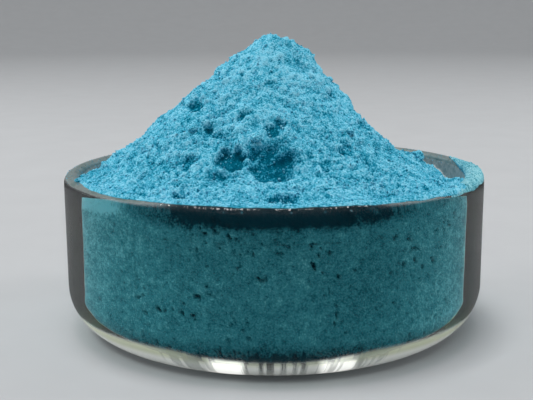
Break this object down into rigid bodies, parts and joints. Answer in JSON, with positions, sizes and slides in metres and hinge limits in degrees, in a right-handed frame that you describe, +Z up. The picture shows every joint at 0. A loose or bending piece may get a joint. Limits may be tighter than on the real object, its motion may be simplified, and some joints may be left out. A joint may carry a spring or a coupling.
{
  "type": "laboratory glass dish",
  "caption": "Straight-sided round glass laboratory dish with a flat foot and a thick rounded rim, filled and heaped with a cone of fine light blue powder.",
  "frame": {"origin": "centre of the dish's flat foot, on the surface that it stands on", "axes": "+Z up along the dish's axis; the dish is round, and the heap's steeper side, with the powder spilled on the rim, faces +X; -Y is the side with the slip on the heap's slope"},
  "size_m": [0.06, 0.06, 0.0416],
  "materials": {
    "clear_glass": "gloss",
    "packed_powder": "matte",
    "loose_powder": "matte",
    "caked_powder": "matte"
  },
  "bodies": {
    "dish": {"dish": "clear_glass", "rim_crumbs": "loose_powder"},
    "bed": {"powder_bed": "packed_powder"},
    "heap": {"powder_heap": "loose_powder", "rim_spill": "loose_powder", "heap_clods": "caked_powder"}
  },
  "joints": [
    {"name": "bed_lift", "type": "slide", "parent": "dish", "child": "bed", "axis": [0, 0, 1], "range_m": [0, 0.022]},
    {"name": "heap_lift", "type": "slide", "parent": "bed", "child": "heap", "axis": [0, 0, 1], "range_m": [0, 0.006]}
  ]
}
